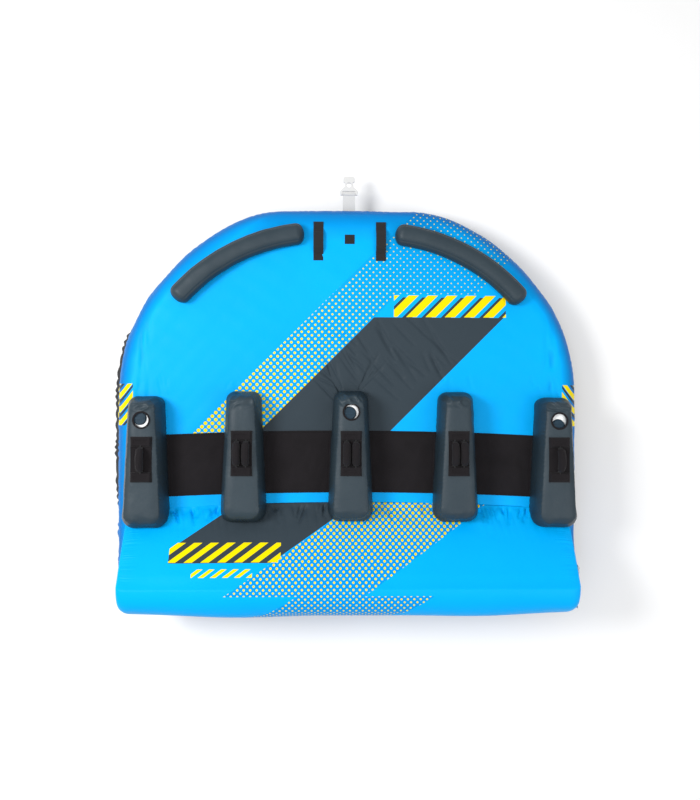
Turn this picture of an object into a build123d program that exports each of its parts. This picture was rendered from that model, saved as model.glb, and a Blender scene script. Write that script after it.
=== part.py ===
"""Towable tube for four riders: a D-shaped inflated deck, a reclined backrest, five arm
bolsters with grab handles, two foot bolsters and a quick-connect tow point.

Millimetres. +Z is up, +Y points to the tow end, X runs across the seats.
The origin is the centre of the bounding box's footprint, on the surface it rests on.
Inflated pieces are thin skins: a sewn nylon cover with a sealed vinyl bladder inside.
"""

from build123d import *
from math import cos, radians, sin, tan
import os

os.makedirs("parts", exist_ok=True)

# ---- driving dimensions -------------------------------------------------------------
deck_half_width = 1177.0
deck_height = 300.0
deck_front_y = 918.0
deck_rear_y = -1079.0
deck_top_round = 110.0
deck_bottom_round = 90.0
deck_rear_corner = 170.0
deck_seam_z = 100.0  # where the printed top cover meets the plain bottom cover

nose_flat = 310.0  # half the straight stretch at the tow end
nose_arcs = [(621.0, 27.5), (1164.0, 29.5), (874.0, 33.0)]  # radius, degrees turned

cover_skin = 1.2
bladder_skin = 0.8
bladder_gap = 1.8
bladder_inset = cover_skin + bladder_gap

back_half_width = 1115.0
back_foot_y = -600.0  # the crease between the seat and the backrest
back_rear_y = -1111.0
back_height = 255.0
back_slope = 36.0  # degrees above horizontal
back_crest_round = 135.0
back_heel_round = 55.0
back_end_round = 30.0

arm_x = [-1008.0, -526.0, 6.0, 532.0, 1026.0]
arm_setback = [-30.0, -4.0, 0.0, -4.0, -30.0]  # the row of arms is slightly bowed
arm_front_y = -14.0
arm_rear_y = -661.0
arm_front_half = 86.0
arm_rear_half = 112.0
arm_height = 160.0
arm_taper = 10.0
arm_top_round = 18.0
arm_front_corner = 40.0
arm_rear_corner = 62.0
arm_bladder_drop = 17.0  # the bladder stays this far under the cover's top

pad_thickness = 4.0
pad_front_y = -219.0
pad_rear_y = -539.0
pad_bow = 28.0
pad_clearance = 1.5

valve_hole_radius = 37.0
binding_inner = 35.0
binding_outer = 43.0
binding_thickness = 2.5
valve_flange_radius = 33.0
valve_neck_radius = 20.0
valve_neck_bore = 16.0
valve_neck_depth = 22.0
valve_cap_radius = 29.0

guard_width = 105.0
guard_length = 220.0
guard_thickness = 2.5
guard_corner = 12.0
guard_centre_y = -320.0
guard_outer_shift = -30.0  # the outer arms carry their handles a little further back
sleeve_width = 100.0
sleeve_length = 49.0
sleeve_height = 17.5
sleeve_round = 5.0
sleeve_bore = 4.4
sleeve_depth = 14.0
grip_spread = 22.5  # half the distance between the two grips of a shared arm
grip_radius = 19.0
grip_bore = 13.0
grip_sweep = 46.0  # half the arc that the foam grip covers, in degrees
handle_bend = 64.0  # radius of the strap's arch
handle_half_span = 58.0
handle_lift = 13.0  # the swing axis above the top of the arm
strap_width = 24.0
strap_thickness = 2.5
strap_trim = 2.0
tail_radius = 4.0
tail_length = 15.0

bolster_width = 104.0
bolster_height = 78.0
bolster_points = [(229.0, 772.0), (531.0, 693.0), (872.0, 440.0)]
bolster_top_round = 38.0
bolster_foot_round = 8.0

grab_x = 158.0
grab_centre_y = 743.0
grab_width = 50.0
grab_length = 196.0
grab_end_length = 34.0
grab_ramp = 26.0
grab_bend = 10.0
grab_thickness = 3.0
grab_rise = 20.0
keeper_y = 753.0
keeper_size = (50.0, 47.0, 3.0)

tow_z = 150.0
tow_base_size = (110.0, 3.0, 56.0)
tow_root_y = deck_front_y + 9.0
tow_hem_radius = 5.0
tow_sleeve_bore = 5.4
tow_sleeve_radius = 8.0
tow_sleeve_opening = 66.0  # half the angle left open for the strap's swing
tow_strap_width = 64.0
tow_strap_thickness = 6.0
tow_bar_y = 1020.0
tow_bar_radius = 6.0
tow_tip_y = 1111.0
tow_loop_inner = 6.5
tow_loop_outer = 9.5
tow_plate_thickness = 16.0
tow_plate_round = 2.5
tow_corner_round = 4.0
tow_hole_y = 1066.0
tow_hole_radius = 13.0
tow_slot_width = 66.0
tow_slot_front_y = 1034.0
# half of the connector's outline, from its rear edge round to the tip of the knob
tow_outline = [
    (0.0, 1014.0),
    (44.0, 1014.0),
    (47.0, 1030.0),
    (40.0, 1042.0),
    (23.0, 1056.0),
    (20.5, 1078.0),
    (30.0, 1084.0),
    (30.0, 1102.0),
    (22.0, tow_tip_y),
    (0.0, tow_tip_y),
]

zipper_tape_width = 32.0
zipper_tape_thickness = 1.0
zipper_chain_width = 7.0
zipper_chain_height = 3.0
back_zipper_length = 210.0
deck_zipper_length = 1600.0
slider_size = (22.0, 15.0, 6.5)
slider_gap = 0.4
slider_post_spread = 8.4
slider_post = (4.0, 2.0, 5.2)
slider_bar_height = 3.6
slider_bar_radius = 1.2
pull_eye_radius = 3.0
pull_eye_bore = 1.6
pull_width = 5.0
pull_length = 27.0
pull_thickness = 1.6

deck_top = deck_height
arm_top = deck_height + arm_height


def save(part, name):
    """Labels a finished piece and writes it as parts/NAME.step."""
    part.label = name
    export_step(part, f"parts/{name}.step")


# ---- shared shapes ------------------------------------------------------------------
def deck_body(inset):
    """The deck's solid outline, moved in by inset on every side."""
    with BuildPart() as body:
        with BuildSketch(Plane.XY.offset(inset)):
            with BuildLine():
                run = Line((0, deck_front_y - inset), (nose_flat, deck_front_y - inset))
                for radius, turn in nose_arcs:
                    run = JernArc(run @ 1, run % 1, radius - inset, -turn)
                corner_y = deck_rear_y + deck_rear_corner
                run = Line(run @ 1, (deck_half_width - inset, corner_y))
                run = JernArc(run @ 1, (0, -1), deck_rear_corner - inset, -90)
                Line(run @ 1, (0, deck_rear_y + inset))
                mirror(about=Plane.YZ)
            make_face()
        extrude(amount=deck_height - 2 * inset)
        top = body.faces().sort_by(Axis.Z)[-1]
        bottom = body.faces().sort_by(Axis.Z)[0]
        fillet(top.edges(), deck_top_round - inset)
        fillet(bottom.edges(), deck_bottom_round - inset)
    return body.part


def backrest_body(inset):
    """The wedge that riders lean on: a reclined face, a round crest and an upright rear."""
    slope = radians(back_slope)
    foot_z = deck_top + inset
    crest_z = deck_top + back_height - inset
    # the reclined face moves square to itself, so its foot slides along the deck by this
    slide = inset / sin(slope) + inset / tan(slope)
    foot = (back_foot_y - slide, foot_z)
    rear = back_rear_y + inset
    run_up = (crest_z - foot_z) / tan(slope)
    crest = (foot[0] - run_up, crest_z)
    with BuildPart() as body:
        with BuildSketch(Plane.YZ):
            with BuildLine():
                Polyline(foot, crest, (rear, crest_z), (rear, foot_z), close=True)
            make_face()
            corners = vertices().sort_by(Axis.X)
            rear_low, rear_high = corners[:2].sort_by(Axis.Y)
            fillet(rear_high, back_crest_round - inset)
            fillet(rear_low, back_heel_round - inset)
        extrude(amount=back_half_width - inset, both=True)
        ends = body.faces().filter_by(Plane.YZ)
        fillet(ends.edges(), back_end_round - inset)
    return body.part


def arm_body(index, inset, drop=0.0):
    """One tapered arm bolster, shaped to the backrest where it leans on it."""
    shift = arm_setback[index]
    front = arm_front_y + shift - inset
    rear = arm_rear_y + shift + inset
    front_half = arm_front_half - inset
    rear_half = arm_rear_half - inset
    with BuildPart() as body:
        with BuildSketch(Plane.XY.offset(deck_top + inset)):
            with BuildLine():
                Polyline(
                    (front_half, front),
                    (-front_half, front),
                    (-rear_half, rear),
                    (rear_half, rear),
                    close=True,
                )
            make_face()
            ordered = vertices().sort_by(Axis.Y)
            fillet(ordered[:2], arm_rear_corner - inset)
            fillet(ordered[2:], arm_front_corner - inset)
        extrude(amount=arm_height - inset - max(inset, drop), taper=arm_taper)
        top = body.faces().sort_by(Axis.Z)[-1]
        fillet(top.edges(), arm_top_round - inset)
    placed = Pos(arm_x[index], 0, 0) * body.part
    return placed - backrest_body(-1.0 - inset)


def hollow(outer, inner):
    """A closed skin: the outer solid with the inner one taken out of it."""
    return outer - inner


# ---- valves -------------------------------------------------------------------------
valve_flange_thickness = 3.0
valve_cap_gap = 0.4
valve_cap_thickness = 6.0
valve_plug_radius = 15.4
valve_plug_length = 10.0
valve_wing = (44.0, 9.0, 4.0)
valve_lobes = 8
valve_lobe_radius = 4.0
hole_reach = 10.0  # how far each way a drilled hole is carried through a skin

middle_valve_y = -118.0
outer_valve_y = -160.0
arm_valve_z = arm_top - arm_bladder_drop
# for each arm with a valve: the valve on the bladder, and the hole in the cover over it
arm_valves = {
    0: ((arm_x[0] - 10.0, outer_valve_y + 9.0), (arm_x[0], outer_valve_y)),
    2: ((arm_x[2] - 9.0, middle_valve_y - 7.0), (arm_x[2], middle_valve_y)),
    4: ((arm_x[4] - 4.0, outer_valve_y - 24.0), (arm_x[4], outer_valve_y)),
}
back_valve_y = -850.0
back_valve_z = 376.0
deck_valve_x = -930.0
deck_valve_z = 146.0
back_hole = Plane(origin=(back_half_width, back_valve_y, back_valve_z), x_dir=(0, 1, 0), z_dir=(1, 0, 0))
deck_hole = Plane(origin=(deck_valve_x, deck_rear_y, deck_valve_z), x_dir=(1, 0, 0), z_dir=(0, -1, 0))
back_valve = back_hole.offset(-bladder_inset)
deck_valve = deck_hole.offset(-bladder_inset)


def drill(part, plane, radius):
    """part with a round hole through its skin, on plane's axis."""
    with BuildPart() as tool:
        with BuildSketch(plane):
            Circle(radius)
        extrude(amount=hole_reach, both=True)
    return part - tool.part


def valve_base_on(plane):
    """A moulded flange on the bladder, with a threaded neck that reaches inside."""
    with BuildPart() as base:
        with BuildSketch(plane):
            Circle(valve_flange_radius)
        extrude(amount=valve_flange_thickness)
        with BuildSketch(plane):
            Circle(valve_neck_radius)
        extrude(amount=-valve_neck_depth)
        with BuildSketch(plane.offset(valve_flange_thickness)):
            Circle(valve_neck_bore)
        extrude(amount=-valve_neck_depth - valve_flange_thickness, mode=Mode.SUBTRACT)
    return base.part


def valve_cap_on(plane):
    """A screw cap: a plug in the neck, a scalloped disc and a bar to turn it by."""
    seat = plane.offset(valve_flange_thickness + valve_cap_gap)
    with BuildPart() as cap:
        with BuildSketch(seat):
            Circle(valve_cap_radius)
            with PolarLocations(valve_cap_radius + valve_lobe_radius / 2, valve_lobes):
                Circle(valve_lobe_radius, mode=Mode.SUBTRACT)
        extrude(amount=valve_cap_thickness)
        with BuildSketch(seat):
            Circle(valve_plug_radius)
        extrude(amount=-valve_plug_length)
        with BuildSketch(seat.offset(valve_cap_thickness)):
            SlotOverall(valve_wing[0], valve_wing[1])
        extrude(amount=valve_wing[2])
    return cap.part


def binding_on(plane):
    """The sewn ring that edges a valve hole."""
    with BuildPart() as ring:
        with BuildSketch(plane):
            Circle(binding_outer)
            Circle(binding_inner, mode=Mode.SUBTRACT)
        extrude(amount=binding_thickness)
    return ring.part


# ---- deck ---------------------------------------------------------------------------
deck_skin = drill(hollow(deck_body(0), deck_body(cover_skin)), deck_hole, valve_hole_radius)
seam = Plane.XY.offset(deck_seam_z)
deck_top_cover = split(deck_skin, bisect_by=seam, keep=Keep.TOP)
deck_bottom_cover = split(deck_skin, bisect_by=seam, keep=Keep.BOTTOM)
save(deck_top_cover, "deck_top_cover")
save(deck_bottom_cover, "deck_bottom_cover")
deck_bladder = hollow(deck_body(bladder_inset), deck_body(bladder_inset + bladder_skin))
save(drill(deck_bladder, deck_valve, valve_neck_radius), "deck_bladder")

# ---- backrest -----------------------------------------------------------------------
back_cover = hollow(backrest_body(0), backrest_body(cover_skin))
save(drill(back_cover, back_hole, valve_hole_radius), "backrest_cover")
back_bladder = hollow(backrest_body(bladder_inset), backrest_body(bladder_inset + bladder_skin))
save(drill(back_bladder, back_valve, valve_neck_radius), "backrest_bladder")

# ---- arms ---------------------------------------------------------------------------
for index in range(len(arm_x)):
    cover = hollow(arm_body(index, 0), arm_body(index, cover_skin))
    bladder = hollow(
        arm_body(index, bladder_inset, arm_bladder_drop),
        arm_body(index, bladder_inset + bladder_skin, arm_bladder_drop + bladder_skin),
    )
    if index in arm_valves:
        valve_at, hole_at = arm_valves[index]
        cover = drill(cover, Plane(origin=(*hole_at, arm_top)), valve_hole_radius)
        bladder = drill(bladder, Plane(origin=(*valve_at, arm_valve_z)), valve_neck_radius)
    save(cover, f"arm_cover_{index + 1}")
    save(bladder, f"arm_bladder_{index + 1}")

# ---- valves in place ----------------------------------------------------------------
valve_planes = [Plane(origin=(*at, arm_valve_z)) for at, _ in arm_valves.values()]
hole_planes = [Plane(origin=(*at, arm_top)) for _, at in arm_valves.values()]
valve_names = ["arm_1", "arm_3", "arm_5", "backrest", "deck"]
for valve_name, plane in zip(valve_names, valve_planes + [back_valve, deck_valve]):
    save(valve_base_on(plane), f"valve_base_{valve_name}")
    save(valve_cap_on(plane), f"valve_cap_{valve_name}")
bindings = Compound([binding_on(plane) for plane in hole_planes + [back_hole, deck_hole]])
save(bindings, "valve_hole_bindings")


# ---- foot bolsters ------------------------------------------------------------------
def bolster_body(inset):
    """The right-hand foot bolster: a rounded bar that curves with the tow end."""
    with BuildPart() as body:
        with BuildLine() as guide:
            whole = ThreePointArc(*bolster_points)
        trim = inset / whole.length
        ends = (whole @ trim, whole @ 0.5, whole @ (1 - trim))
        with BuildLine(Plane.XY.offset(deck_top + inset)) as path:
            ThreePointArc(*[(point.X, point.Y) for point in ends])
        along = path.line % 0
        across = Plane(origin=path.line @ 0, x_dir=Vector(0, 0, 1).cross(along), z_dir=along)
        with BuildSketch(across):
            width = bolster_width - 2 * inset
            height = bolster_height - 2 * inset
            Rectangle(width, height, align=(Align.CENTER, Align.MIN))
            fillet(vertices().sort_by(Axis.Y)[2:], bolster_top_round - inset)
            fillet(vertices().sort_by(Axis.Y)[:2], bolster_foot_round - inset)
        sweep(path=path.line)
    return body.part


bolster_cover = hollow(bolster_body(0), bolster_body(cover_skin))
bolster_core = bolster_body(bladder_inset)
save(bolster_cover, "foot_bolster_cover_right")
save(bolster_core, "foot_bolster_core_right")
save(bolster_cover.mirror(Plane.YZ), "foot_bolster_cover_left")
save(bolster_core.mirror(Plane.YZ), "foot_bolster_core_left")

# ---- seat pads ----------------------------------------------------------------------
with BuildPart() as seat_band:
    with BuildSketch(Plane.XY.offset(deck_top)):
        with BuildLine():
            reach = arm_x[-1]
            half_bow = pad_bow / 2
            front = ThreePointArc(
                (-reach, pad_front_y - half_bow), (0, pad_front_y + half_bow), (reach, pad_front_y - half_bow)
            )
            rear = ThreePointArc(
                (-reach, pad_rear_y - half_bow), (0, pad_rear_y + half_bow), (reach, pad_rear_y - half_bow)
            )
            Line(front @ 0, rear @ 0)
            Line(front @ 1, rear @ 1)
        make_face()
    extrude(amount=pad_thickness)
pads = seat_band.part
for index in range(len(arm_x)):
    pads = pads - arm_body(index, -pad_clearance)
save(Compound(pads.solids()), "seat_pads")

# ---- arm handles --------------------------------------------------------------------
handle_axis_z = arm_top + handle_lift
handle_drop = (handle_bend**2 - handle_half_span**2) ** 0.5  # bend centre below the axis


def guard_y(index):
    """The middle of an arm's handle guard."""
    return guard_centre_y + (guard_outer_shift if index in (0, 4) else 0.0)


def grip_offsets(index):
    """Where the grips sit across an arm: one on an outer arm, two on a shared one."""
    return [0.0] if index in (0, 4) else [-grip_spread, grip_spread]


with BuildPart() as handle_strap:
    with BuildSketch(Plane.YZ):
        with Locations((0, -handle_drop)):
            Circle(handle_bend + strap_thickness / 2)
            Circle(handle_bend - strap_thickness / 2, mode=Mode.SUBTRACT)
        with Locations((0, -strap_trim)):
            Rectangle(4 * handle_bend, 2 * handle_bend, align=(Align.CENTER, Align.MIN), mode=Mode.INTERSECT)
    extrude(amount=strap_width / 2, both=True)
    with BuildSketch(Plane.XZ.offset(-(handle_half_span - strap_trim))):
        Circle(tail_radius)
    extrude(amount=-tail_length - strap_trim)
    mirror(about=Plane.XZ)

with BuildPart() as handle_grip:
    with BuildSketch(Plane.XZ):
        with Locations((0, handle_bend - handle_drop)):
            Circle(grip_radius)
            Circle(grip_bore, mode=Mode.SUBTRACT)
    revolve(axis=Axis((0, 0, -handle_drop), (1, 0, 0)), revolution_arc=grip_sweep)
    mirror(about=Plane.XZ)

guards = []
sleeves = []
handle_number = 0
for index, x in enumerate(arm_x):
    middle_y = guard_y(index)
    with BuildPart() as guard:
        with BuildSketch(Plane.XY.offset(arm_top)):
            with Locations((x, middle_y)):
                RectangleRounded(guard_width, guard_length, guard_corner)
        extrude(amount=guard_thickness)
    guards.append(guard.part)
    for side in (-1, 1):
        inner_y = middle_y + side * (guard_length / 2 - sleeve_length)
        with BuildPart() as sleeve:
            with BuildSketch(Plane.XY.offset(arm_top + guard_thickness)):
                with Locations((x, inner_y + side * sleeve_length / 2)):
                    Rectangle(sleeve_width, sleeve_length)
            extrude(amount=sleeve_height)
            fillet(sleeve.faces().sort_by(Axis.Z)[-1].edges(), sleeve_round)
            with BuildSketch(Plane(origin=(x, inner_y, handle_axis_z), x_dir=(1, 0, 0), z_dir=(0, side, 0))):
                with Locations(*[(offset, 0) for offset in grip_offsets(index)]):
                    Circle(sleeve_bore)
            extrude(amount=sleeve_depth, mode=Mode.SUBTRACT)
        sleeves.append(sleeve.part)
    for offset in grip_offsets(index):
        handle_number += 1
        place = Pos(x + offset, middle_y, handle_axis_z)
        save(place * handle_strap.part, f"handle_strap_{handle_number}")
        save(place * handle_grip.part, f"handle_grip_{handle_number}")
save(Compound(guards), "handle_guards")
save(Compound(sleeves), "handle_sleeves")

# ---- front grab straps and the patch between them -----------------------------------
with BuildPart() as grab:
    with BuildSketch(Plane.YZ):
        with BuildLine():
            low = deck_top + grab_thickness / 2
            high = low + grab_rise
            outer = grab_length / 2
            knee = outer - grab_end_length
            shoulder = knee - grab_ramp
            FilletPolyline(
                (grab_centre_y - outer, low),
                (grab_centre_y - knee, low),
                (grab_centre_y - shoulder, high),
                (grab_centre_y + shoulder, high),
                (grab_centre_y + knee, low),
                (grab_centre_y + outer, low),
                radius=grab_bend,
            )
        trace(line_width=grab_thickness)
    extrude(amount=grab_width / 2, both=True)
save(Pos(-grab_x, 0, 0) * grab.part, "grab_strap_left")
save(Pos(grab_x, 0, 0) * grab.part, "grab_strap_right")

with BuildPart() as front_patch:
    with BuildSketch(Plane.XY.offset(deck_top)):
        with Locations((0, keeper_y)):
            Rectangle(keeper_size[0], keeper_size[1])
    extrude(amount=keeper_size[2])
save(front_patch.part, "front_patch")

# ---- tow point ----------------------------------------------------------------------
with BuildPart() as tow_base:
    with Locations((0, deck_front_y, tow_z)):
        Box(*tow_base_size, align=(Align.CENTER, Align.MIN, Align.CENTER))
    with BuildSketch(Plane.YZ):
        with Locations((tow_root_y, tow_z)):
            Circle(tow_sleeve_radius)
    extrude(amount=tow_strap_width / 2, both=True)
    with BuildSketch(Plane.YZ):
        with Locations((tow_root_y, tow_z)):
            Circle(tow_sleeve_bore)
        wide = tow_sleeve_radius * 2
        with BuildLine():
            tip = (tow_root_y, tow_z)
            high_side = (tow_root_y + wide, tow_z + wide * tan(radians(tow_sleeve_opening)))
            low_side = (tow_root_y + wide, tow_z - wide * tan(radians(tow_sleeve_opening)))
            Polyline(tip, high_side, low_side, close=True)
        make_face()
    extrude(amount=tow_strap_width, both=True, mode=Mode.SUBTRACT)
save(tow_base.part, "tow_base")

with BuildPart() as tow_strap:
    with BuildSketch(Plane.YZ):
        with Locations((tow_root_y, tow_z)):
            Circle(tow_hem_radius)
        with Locations(((tow_root_y + tow_bar_y) / 2, tow_z)):
            Rectangle(tow_bar_y - tow_root_y, tow_strap_thickness)
        with Locations((tow_bar_y, tow_z)):
            Circle(tow_loop_outer)
            Circle(tow_loop_inner, mode=Mode.SUBTRACT)
    extrude(amount=tow_strap_width / 2, both=True)
save(tow_strap.part, "tow_strap")

with BuildPart() as tow_connector:
    with BuildSketch(Plane.XY.offset(tow_z)):
        with BuildLine():
            Polyline(*tow_outline)
            mirror(about=Plane.YZ)
        make_face()
        with Locations((0, tow_bar_y - 2 * tow_bar_radius)):
            Rectangle(tow_slot_width, 4 * tow_bar_radius, mode=Mode.SUBTRACT)
        with Locations((0, (tow_bar_y + tow_slot_front_y) / 2)):
            Rectangle(tow_slot_width, tow_slot_front_y - tow_bar_y, mode=Mode.SUBTRACT)
        shoulders = vertices().filter_by_position(Axis.Y, tow_slot_front_y + 1, tow_tip_y + 1)
        fillet(shoulders, tow_corner_round)
    extrude(amount=tow_plate_thickness / 2, both=True)
    rims = tow_connector.faces().filter_by(Axis.Z).edges()
    fillet(rims, tow_plate_round)
    with BuildSketch(Plane.XY.offset(tow_z)):
        with Locations((0, tow_hole_y)):
            Circle(tow_hole_radius)
    extrude(amount=tow_plate_thickness, both=True, mode=Mode.SUBTRACT)
    with BuildSketch(Plane.YZ):
        with Locations((tow_bar_y, tow_z)):
            Circle(tow_bar_radius)
    extrude(amount=tow_slot_width / 2 + 2 * tow_plate_round, both=True)
save(tow_connector.part, "tow_connector")


# ---- zippers ------------------------------------------------------------------------
def zipper_on(plane, length):
    """Tape and closed chain, laid along plane's X on the cover's surface."""
    with BuildPart() as zipper:
        with BuildSketch(plane):
            Rectangle(length, zipper_tape_width)
        extrude(amount=zipper_tape_thickness)
        with BuildSketch(plane.offset(zipper_tape_thickness)):
            Rectangle(length, zipper_chain_width)
        extrude(amount=zipper_chain_height)
    return zipper.part


def slider_on(plane):
    """A slider straddling the chain, with a bar across its back for the pull."""
    floor = plane.offset(zipper_tape_thickness + slider_gap)
    back = floor.offset(slider_size[2])
    with BuildPart() as slider:
        with BuildSketch(floor):
            Rectangle(slider_size[0], slider_size[1])
        extrude(amount=slider_size[2])
        with BuildSketch(floor):
            Rectangle(slider_size[0], zipper_chain_width + 2 * slider_gap)
        extrude(amount=zipper_chain_height, mode=Mode.SUBTRACT)
        with BuildSketch(back):
            with GridLocations(0, slider_post_spread, 1, 2):
                Rectangle(slider_post[0], slider_post[1])
        extrude(amount=slider_post[2])
        with BuildSketch(Plane(origin=back.from_local_coords((0, 0, slider_bar_height)), x_dir=plane.x_dir, z_dir=plane.y_dir)):
            Circle(slider_bar_radius)
        extrude(amount=slider_post_spread / 2, both=True)
    return slider.part


def pull_on(plane):
    """The pull: a flat tag hanging from an eye round the slider's bar."""
    pivot = plane.offset(zipper_tape_thickness + slider_gap + slider_size[2] + slider_bar_height)
    across = Plane(origin=pivot.origin, x_dir=plane.x_dir, z_dir=plane.y_dir)
    with BuildPart() as pull:
        with BuildSketch(across):
            Circle(pull_eye_radius)
            with Locations((pull_length / 2, 0)):
                Rectangle(pull_length, pull_thickness)
            Circle(pull_eye_bore, mode=Mode.SUBTRACT)
        extrude(amount=pull_width / 2, both=True)
    return pull.part


back_zipper_y = -970.0
back_zipper_z = 447.0
slider_inset = 16.0
back_zipper_plane = Plane(
    origin=(back_half_width, back_zipper_y, back_zipper_z), x_dir=(0, -1, 0), z_dir=(1, 0, 0)
)
back_slider_plane = back_zipper_plane.shift_origin(
    back_zipper_plane.from_local_coords((slider_inset - back_zipper_length / 2, 0, 0))
)
deck_zipper_plane = Plane(origin=(0, deck_rear_y, deck_valve_z), x_dir=(1, 0, 0), z_dir=(0, -1, 0))
deck_slider_plane = deck_zipper_plane.shift_origin(
    deck_zipper_plane.from_local_coords((slider_inset - deck_zipper_length / 2, 0, 0))
)
save(zipper_on(back_zipper_plane, back_zipper_length), "backrest_zipper")
save(slider_on(back_slider_plane), "backrest_zipper_slider")
save(pull_on(back_slider_plane), "backrest_zipper_pull")
save(zipper_on(deck_zipper_plane, deck_zipper_length), "deck_zipper")
save(slider_on(deck_slider_plane), "deck_zipper_slider")
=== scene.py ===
"""Towable tube for four riders: the visual model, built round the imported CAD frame."""

import math

import bmesh
import bpy
import numpy as np
from mathutils import Matrix, Vector


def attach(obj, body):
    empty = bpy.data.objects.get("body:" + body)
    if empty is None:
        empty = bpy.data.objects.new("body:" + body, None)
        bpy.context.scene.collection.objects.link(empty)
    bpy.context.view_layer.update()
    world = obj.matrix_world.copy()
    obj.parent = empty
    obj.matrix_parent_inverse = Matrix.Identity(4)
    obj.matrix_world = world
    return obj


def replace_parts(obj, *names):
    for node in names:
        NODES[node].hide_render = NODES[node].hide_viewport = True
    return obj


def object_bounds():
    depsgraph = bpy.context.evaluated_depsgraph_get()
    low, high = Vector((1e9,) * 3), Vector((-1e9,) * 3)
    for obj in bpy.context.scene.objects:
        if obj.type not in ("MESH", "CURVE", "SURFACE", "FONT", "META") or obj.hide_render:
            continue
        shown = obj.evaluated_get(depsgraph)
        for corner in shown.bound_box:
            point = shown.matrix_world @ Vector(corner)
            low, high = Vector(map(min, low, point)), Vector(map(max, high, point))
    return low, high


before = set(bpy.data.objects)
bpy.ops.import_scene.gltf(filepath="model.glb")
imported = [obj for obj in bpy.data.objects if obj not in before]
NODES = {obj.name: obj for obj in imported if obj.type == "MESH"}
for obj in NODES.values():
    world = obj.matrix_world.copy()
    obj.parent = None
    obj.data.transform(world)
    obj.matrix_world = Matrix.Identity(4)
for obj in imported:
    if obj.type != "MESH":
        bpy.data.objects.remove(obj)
cad_low, cad_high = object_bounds()
TUBE = "tube"

# ---- sizes shared with the CAD model, in metres --------------------------------------
HALF_WIDTH = 1.177
DECK_TOP = 0.300
FRONT_Y = 0.918
REAR_Y = -1.079
SEAM_Z = 0.100
TOP_ROUND = 0.110
BOTTOM_ROUND = 0.090
REAR_CORNER = 0.170
NOSE_FLAT = 0.310
NOSE_ARCS = [(0.621, 27.5), (1.164, 29.5), (0.874, 33.0)]
ARM_X = [-1.008, -0.526, 0.006, 0.532, 1.026]
ARM_SETBACK = [-0.030, -0.004, 0.0, -0.004, -0.030]
ARM_TOP = 0.460
VALVE_ARMS = {0: (-1.008, -0.160), 2: (0.006, -0.118), 4: (1.026, -0.160)}
DECK_VALVE = (-0.930, 0.146)
PAD_FRONT = -0.227
PAD_REAR = -0.539
PAD_BOW = 0.028
BACK_FOOT = -0.610
BACK_REAR = -1.111
BACK_TOP = 0.555
BACK_HALF = 1.115
GRIP_Z = 0.473
GUARD_Y = [-0.350, -0.320, -0.320, -0.320, -0.350]
GUARD_HALF = (0.0525, 0.110)
SLEEVE_HALF = (0.050, 0.0245)


# ---- mesh helpers --------------------------------------------------------------------
def new_object(name, verts, faces, material, smooth=True):
    """A mesh object with outward normals."""
    mesh = bpy.data.meshes.new(name)
    mesh.from_pydata(np.asarray(verts, float).reshape(-1, 3).tolist(), [], [list(f) for f in faces])
    bm = bmesh.new()
    bm.from_mesh(mesh)
    bmesh.ops.remove_doubles(bm, verts=bm.verts, dist=1e-5)
    bmesh.ops.recalc_face_normals(bm, faces=bm.faces)
    bm.to_mesh(mesh)
    bm.free()
    mesh.polygons.foreach_set("use_smooth", [smooth] * len(mesh.polygons))
    obj = bpy.data.objects.new(name, mesh)
    bpy.context.scene.collection.objects.link(obj)
    mesh.materials.append(material)
    return obj


def grid_faces(rows, cols, wrap, start=0):
    """Quads of a rows x cols grid of points; wrap closes it along the rows."""
    i = np.arange(rows if wrap else rows - 1)[:, None]
    j = np.arange(cols - 1)[None, :]
    a = i * cols + j
    b = ((i + 1) % rows) * cols + j
    return (np.stack([a, b, b + 1, a + 1], -1).reshape(-1, 4) + start).tolist()


def apply_modifiers(obj):
    """Replaces obj's mesh with its evaluated one."""
    depsgraph = bpy.context.evaluated_depsgraph_get()
    mesh = bpy.data.meshes.new_from_object(obj.evaluated_get(depsgraph))
    obj.modifiers.clear()
    obj.data = mesh
    return obj


def smoothstep(x):
    x = np.clip(x, 0.0, 1.0)
    return x * x * (3 - 2 * x)


def waves(points, scale, seed, count=7):
    """Smooth repeatable noise of about -1 to 1: a sum of plane waves whose length is near scale."""
    draw = np.random.RandomState(seed)
    total = np.zeros(points.shape[:-1])
    for _ in range(count):
        direction = draw.normal(size=points.shape[-1])
        direction /= np.linalg.norm(direction)
        length = scale * draw.uniform(0.6, 1.6)
        total += np.sin(points @ direction * (2 * np.pi / length) + draw.uniform(0, 2 * np.pi))
    return total / math.sqrt(count)


def pucker(s, pitch, seed):
    """Uneven gathers along a seam, 0 at a stitch's pull to 1 at the puff between two."""
    line = s[..., None]
    drift = 0.45 * waves(line, pitch * 7, seed)
    gathers = np.abs(np.sin(np.pi * (s / pitch + drift)))
    strength = 0.65 + 0.35 * waves(line, pitch * 5, seed + 1)
    return gathers * np.clip(strength, 0.15, 1.0)


def fold(points, start, end, width, depth):
    """How far a pressed-in fold between two points of the plane lowers each point."""
    a, b = np.array(start), np.array(end)
    along = b - a
    length = np.linalg.norm(along)
    t = np.clip(((points - a) @ along) / length**2, 0, 1)
    nearest = a + t[..., None] * along
    away = np.linalg.norm(points - nearest, axis=-1)
    fade = np.sin(np.pi * np.clip(0.12 + 0.88 * t, 0, 1)) ** 0.7
    return depth * fade * np.exp(-((away / width) ** 2))


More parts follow.
